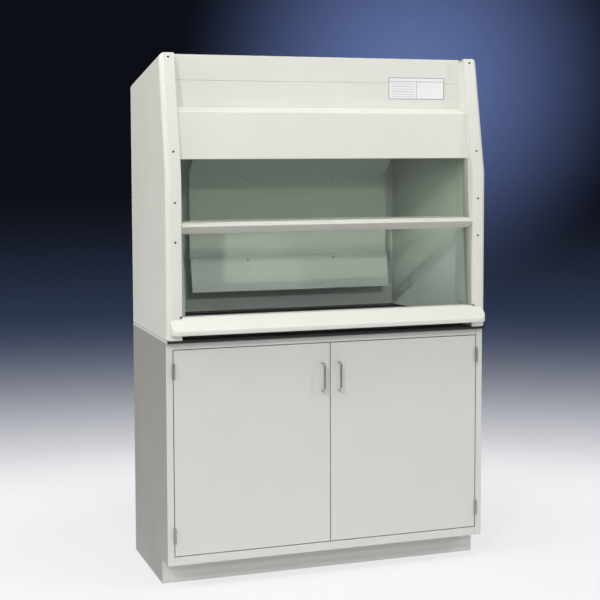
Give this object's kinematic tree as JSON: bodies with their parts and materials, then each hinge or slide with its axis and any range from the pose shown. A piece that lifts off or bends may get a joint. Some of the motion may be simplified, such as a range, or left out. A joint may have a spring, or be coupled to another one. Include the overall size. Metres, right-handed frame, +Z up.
{
  "type": "fume hood",
  "caption": "Bench fume hood with a counterbalanced sash, rear baffles and a rounded airfoil sill, on a steel base cabinet with hinged doors and wire pulls.",
  "frame": {"origin": "on the floor, under the middle of the part's box", "axes": "+X to the right of someone facing the hood, -Y out of its front, +Z up"},
  "size_m": [1.2192, 0.624, 1.899],
  "materials": {
    "hood_composite": "satin",
    "worktop": "matte",
    "glass": "clear",
    "track": "satin",
    "standoff": "matte",
    "collar": "satin",
    "steel": "satin",
    "wheel": "matte",
    "pull": "satin",
    "catch": "matte",
    "cabinet": "satin"
  },
  "bodies": {
    "hood": {"airfoil_sill": "hood_composite", "baffle_standoffs": "standoff", "bottom_rail": "cabinet", "cabinet_back": "cabinet", "cabinet_floor": "cabinet", "cabinet_left_liner": "cabinet", "cabinet_left_side": "cabinet", "cabinet_right_liner": "cabinet", "cabinet_right_side": "cabinet", "cabinet_shelf": "cabinet", "door_catches": "catch", "exhaust_collar": "collar", "fascia_panel": "hood_composite", "fixed_window": "glass", "header_panel": "hood_composite", "left_chamber_wall": "hood_composite", "left_end_panel": "hood_composite", "left_frame_hinge_leaves": "steel", "left_hinge_pins": "steel", "left_inner_liner": "hood_composite", "left_pulley_bracket": "steel", "left_sash_track": "track", "lower_baffle": "hood_composite", "post_screws": "steel", "rear_panel": "hood_composite", "rear_top_rail": "cabinet", "right_chamber_wall": "hood_composite", "right_end_panel": "hood_composite", "right_frame_hinge_leaves": "steel", "right_hinge_pins": "steel", "right_inner_liner": "hood_composite", "right_pulley_bracket": "steel", "right_sash_track": "track", "roof_panel": "hood_composite", "sash_cables": "steel", "shelf_clips": "steel", "toe_kick": "cabinet", "top_fascia": "hood_composite", "top_rail": "cabinet", "upper_baffle": "hood_composite", "weight_cables": "steel", "window_edge_trim": "track", "work_surface": "worktop"},
    "sash": {"sash_glass": "glass", "sash_handle": "hood_composite", "cable_clips": "steel"},
    "left_weight": {"left_counterweight": "steel"},
    "right_weight": {"right_counterweight": "steel"},
    "left_wheel": {"left_pulley": "wheel"},
    "right_wheel": {"right_pulley": "wheel"},
    "left_door": {"left_door_front": "cabinet", "left_door_liner": "cabinet", "left_door_strike": "steel", "left_door_pull": "pull", "left_door_hinge_leaves": "steel"},
    "right_door": {"right_door_front": "cabinet", "right_door_liner": "cabinet", "right_door_strike": "steel", "right_door_pull": "pull", "right_door_hinge_leaves": "steel"}
  },
  "joints": [
    {"name": "sash_slide", "type": "slide", "parent": "hood", "child": "sash", "axis": [0, 0.0785, 0.9969], "range_m": [-0.2801, 0], "deforming": ["sash_cables", "weight_cables"]},
    {"name": "left_weight_slide", "type": "slide", "parent": "hood", "child": "left_weight", "axis": [0, 0, 1], "range_m": [0, 0.2801]},
    {"name": "left_pulley_spin", "type": "hinge", "parent": "hood", "child": "left_wheel", "pos_m": [-0.5851, -0.16819, 1.69211], "axis": [1, 0, 0], "range_deg": [0, 730.5]},
    {"name": "right_weight_slide", "type": "slide", "parent": "hood", "child": "right_weight", "axis": [0, 0, 1], "range_m": [0, 0.2801]},
    {"name": "right_pulley_spin", "type": "hinge", "parent": "hood", "child": "right_wheel", "pos_m": [0.5851, -0.16819, 1.69211], "axis": [1, 0, 0], "range_deg": [0, 730.5]},
    {"name": "left_door_swing", "type": "hinge", "parent": "hood", "child": "left_door", "pos_m": [-0.5841, -0.2525, 0.489], "axis": [0, 0, -1], "range_deg": [0, 165]},
    {"name": "right_door_swing", "type": "hinge", "parent": "hood", "child": "right_door", "pos_m": [0.5841, -0.2525, 0.489], "axis": [0, 0, 1], "range_deg": [0, 165]}
  ],
  "couplings": [
    {"joint": "left_weight_slide", "follows": "sash_slide", "ratio": -1},
    {"joint": "left_pulley_spin", "follows": "sash_slide", "rad_per_m": -45.455},
    {"joint": "right_weight_slide", "follows": "sash_slide", "ratio": -1},
    {"joint": "right_pulley_spin", "follows": "sash_slide", "rad_per_m": -45.455}
  ]
}
